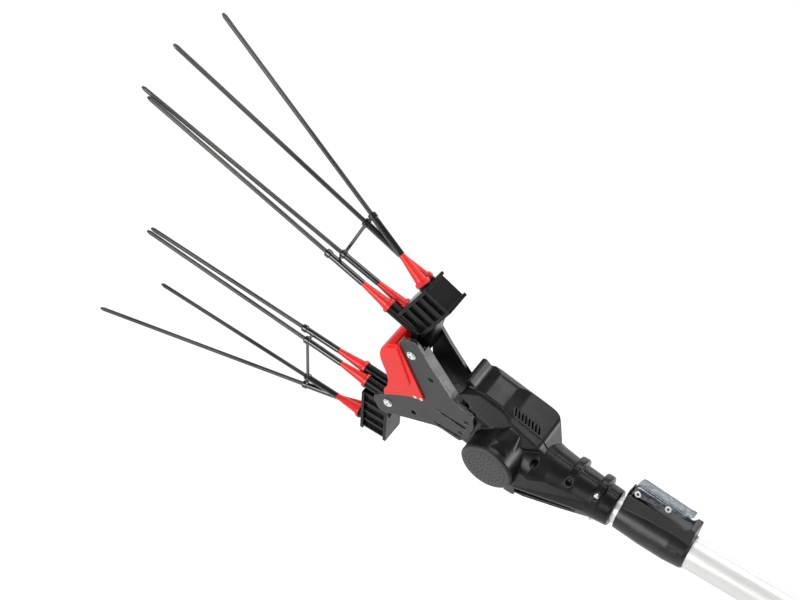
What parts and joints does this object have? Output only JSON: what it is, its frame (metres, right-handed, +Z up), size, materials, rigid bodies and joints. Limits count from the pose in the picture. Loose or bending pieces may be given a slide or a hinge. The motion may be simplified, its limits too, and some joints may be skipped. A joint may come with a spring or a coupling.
{
  "type": "electric olive harvester head",
  "caption": "Olive harvester head on a telescopic pole: two toothed combs swing against each other in a fork, driven by a motor through a crank.",
  "frame": {"origin": "centre of the outer pole's open rear end", "axes": "+X forward along the pole to the tines, +Y to the left side with the motor cap, +Z up"},
  "size_m": [1.0754, 0.0921, 0.5274],
  "materials": {
    "pole_aluminium": "satin",
    "black_plastic": "fine moulded grain",
    "pale_plastic": "smooth",
    "grey_plastic": "fine moulded grain",
    "cap_grey": "fine moulded grain",
    "red_plastic": "satin",
    "zinc_steel": "zinc plated",
    "bare_steel": "machined",
    "black_steel": "blackened",
    "bronze": "sintered",
    "carbon_rod": "pultruded carbon"
  },
  "bodies": {
    "pole": {"outer_pole": "pole_aluminium", "clamp_sleeve": "black_plastic", "clamp_pad": "pale_plastic", "clamp_pin": "zinc_steel"},
    "lever": {"clamp_lever": "zinc_steel", "clamp_rivet": "zinc_steel"},
    "head": {"inner_pole": "pole_aluminium", "housing_left": "black_plastic", "housing_right": "black_plastic", "motor_cap": "cap_grey", "housing_screws": "zinc_steel", "fork_left": "grey_plastic", "fork_right": "grey_plastic", "fork_spacers": "bare_steel", "fork_screws": "black_steel", "front_guard": "red_plastic", "guard_screws": "zinc_steel", "pivot_shafts": "bare_steel", "pivot_screws": "zinc_steel", "pivot_washers": "zinc_steel", "motor_can": "bare_steel", "axle_bearings": "bare_steel"},
    "rotor": {"motor_shaft": "bare_steel", "pinion": "bare_steel"},
    "crank": {"crank_gear": "bare_steel", "gear_axle": "bare_steel", "crank_pin": "bare_steel"},
    "upper": {"upper_comb": "black_plastic", "upper_bushes": "bronze", "upper_lever_pin": "bare_steel", "upper_holders": "red_plastic", "upper_brace": "black_plastic", "upper_tine_1": "carbon_rod", "upper_tine_2": "carbon_rod", "upper_tine_3": "carbon_rod", "upper_tine_4": "carbon_rod"},
    "lower": {"lower_comb": "black_plastic", "lower_bushes": "bronze", "lower_lever_pin": "bare_steel", "lower_holders": "red_plastic", "lower_brace": "black_plastic", "lower_tine_1": "carbon_rod", "lower_tine_2": "carbon_rod", "lower_tine_3": "carbon_rod", "lower_tine_4": "carbon_rod"},
    "upper_link": {"upper_rod": "bare_steel"},
    "lower_link": {"lower_rod": "bare_steel"}
  },
  "joints": [
    {"name": "telescope", "type": "slide", "parent": "pole", "child": "head", "axis": [1, 0, 0], "range_m": [0, 0.2]},
    {"name": "clamp_open", "type": "hinge", "parent": "pole", "child": "lever", "pos_m": [0.374, -0.01488, 0.0319], "axis": [0, 0.9063, 0.4226], "range_deg": [0, 70]},
    {"name": "crank_turn", "type": "hinge", "parent": "head", "child": "crank", "pos_m": [0.55425, 0, 0.02087], "axis": [0, 1, 0], "continuous": true},
    {"name": "motor_turn", "type": "hinge", "parent": "head", "child": "rotor", "pos_m": [0.523, 0, 0.014], "axis": [0, 1, 0], "continuous": true},
    {"name": "upper_swing", "type": "hinge", "parent": "head", "child": "upper", "pos_m": [0.63635, 0, 0.09452], "axis": [0, 1, 0], "range_deg": [0, 17.2]},
    {"name": "lower_swing", "type": "hinge", "parent": "head", "child": "lower", "pos_m": [0.65967, 0, -0.01155], "axis": [0, 1, 0], "range_deg": [-17.2, 0]},
    {"name": "upper_rod_turn", "type": "hinge", "parent": "upper", "child": "upper_link", "pos_m": [0.63541, 0, 0.06155], "axis": [0, 1, 0], "range_deg": [-20.8, 0]},
    {"name": "lower_rod_turn", "type": "hinge", "parent": "lower", "child": "lower_link", "pos_m": [0.64499, 0, 0.01799], "axis": [0, 1, 0], "range_deg": [0, 20.8]}
  ],
  "couplings": [
    {"joint": "motor_turn", "follows": "crank_turn", "ratio": -3},
    {"joint": "lower_swing", "follows": "upper_swing", "ratio": -1},
    {"joint": "upper_rod_turn", "follows": "upper_swing", "ratio": -1.152},
    {"joint": "lower_rod_turn", "follows": "upper_swing", "ratio": 1.152}
  ]
}
